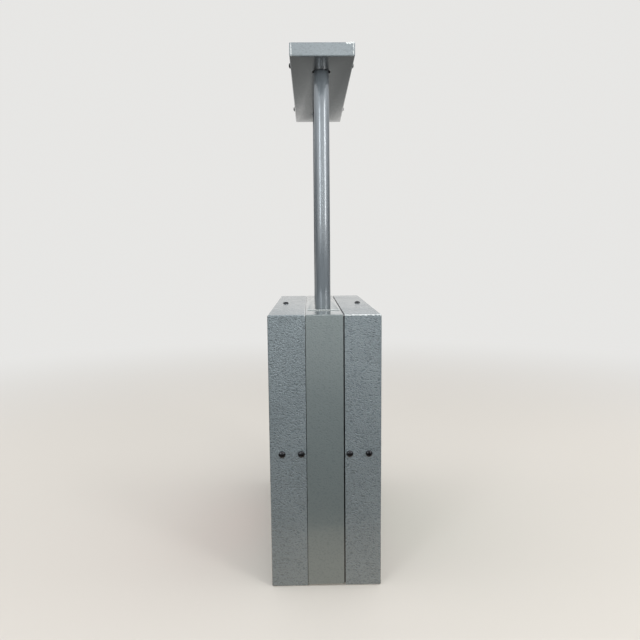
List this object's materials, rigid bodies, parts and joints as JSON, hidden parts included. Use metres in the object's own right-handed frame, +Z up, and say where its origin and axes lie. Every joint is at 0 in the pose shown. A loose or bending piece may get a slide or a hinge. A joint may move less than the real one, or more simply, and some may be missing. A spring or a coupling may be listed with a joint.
{
  "type": "double-faced ceiling-hung signal head",
  "caption": "Square sheet-steel signal box with a round lens on each face, hung on tubes from a ceiling bracket under a shallow sliding canopy.",
  "frame": {"origin": "middle of the box's underside, on the surface that it stands on", "axes": "+Z up along the hanging tubes; the red lens faces -Y, the green lens faces +Y; +X runs along the canopy"},
  "size_m": [0.4066, 0.178, 0.7665],
  "materials": {
    "cover_enamel": "hammered grey enamel, strong ripple, semi-gloss",
    "band_enamel": "hammered grey enamel, fine ripple, semi-gloss",
    "tube_enamel": "silver-grey enamel, smooth and glossy",
    "canopy_enamel": "hammered grey enamel, worn at the edges",
    "black_steel": "blackened steel, satin",
    "zinc_steel": "zinc-plated sheet, satin",
    "white_reflector": "white enamel, semi-gloss",
    "red_lens": "translucent ribbed red",
    "green_lens": "translucent ribbed green",
    "rubber": "matt black",
    "porcelain": "glazed white porcelain",
    "lamp_glass": "opal glass",
    "lead_jacket": "matt grey jacket"
  },
  "bodies": {
    "hanging_frame": {"centre_band": "band_enamel", "hanger_plate": "band_enamel", "inner_liner": "black_steel", "mounting_plate": "zinc_steel", "ceiling_bracket": "zinc_steel", "earth_stud": "zinc_steel", "hanger_tube_left": "tube_enamel", "tube_washer_left": "zinc_steel", "tube_lock_nut_left": "zinc_steel", "tube_collar_left": "zinc_steel", "tube_cable_bush_left": "rubber", "hanger_tube_right": "tube_enamel", "tube_washer_right": "zinc_steel", "tube_lock_nut_right": "zinc_steel", "tube_collar_right": "zinc_steel", "tube_cable_bush_right": "rubber", "terminal_block": "porcelain", "front_reflector": "white_reflector", "lampholder_bracket_front_left": "zinc_steel", "lampholder_front_left": "porcelain", "lamp_front_left": "lamp_glass", "lead_front_left": "lead_jacket", "lampholder_bracket_front_right": "zinc_steel", "lampholder_front_right": "porcelain", "lamp_front_right": "lamp_glass", "lead_front_right": "lead_jacket", "rear_reflector": "white_reflector", "lampholder_bracket_rear_left": "zinc_steel", "lampholder_rear_left": "porcelain", "lamp_rear_left": "lamp_glass", "lead_rear_left": "lead_jacket", "lampholder_bracket_rear_right": "zinc_steel", "lampholder_rear_right": "porcelain", "lamp_rear_right": "lamp_glass", "lead_rear_right": "lead_jacket"},
    "canopy_unit": {"canopy_cover": "canopy_enamel", "canopy_screw_front_left": "black_steel", "canopy_screw_front_right": "black_steel", "canopy_screw_rear_left": "black_steel", "canopy_screw_rear_right": "black_steel"},
    "front_cover_unit": {"front_cover": "cover_enamel", "front_lens": "red_lens", "front_lens_gasket": "rubber", "front_lens_frame": "zinc_steel", "front_cover_screw_left": "black_steel", "front_lens_frame_screw_left": "black_steel", "front_cover_screw_right": "black_steel", "front_lens_frame_screw_right": "black_steel", "front_lens_frame_screw_top": "black_steel"},
    "rear_cover_unit": {"rear_cover": "cover_enamel", "rear_lens": "green_lens", "rear_lens_gasket": "rubber", "rear_lens_frame": "zinc_steel", "rear_cover_screw_left": "black_steel", "rear_lens_frame_screw_left": "black_steel", "rear_cover_screw_right": "black_steel", "rear_lens_frame_screw_right": "black_steel", "rear_lens_frame_screw_top": "black_steel"}
  },
  "joints": [
    {"name": "front_cover_pull", "type": "slide", "parent": "hanging_frame", "child": "front_cover_unit", "axis": [0, -1, 0], "range_m": [0, 0.15]},
    {"name": "rear_cover_pull", "type": "slide", "parent": "hanging_frame", "child": "rear_cover_unit", "axis": [0, 1, 0], "range_m": [0, 0.15]},
    {"name": "canopy_slide", "type": "slide", "parent": "hanging_frame", "child": "canopy_unit", "axis": [0, 0, 1], "range_m": [-0.34, 0]}
  ]
}
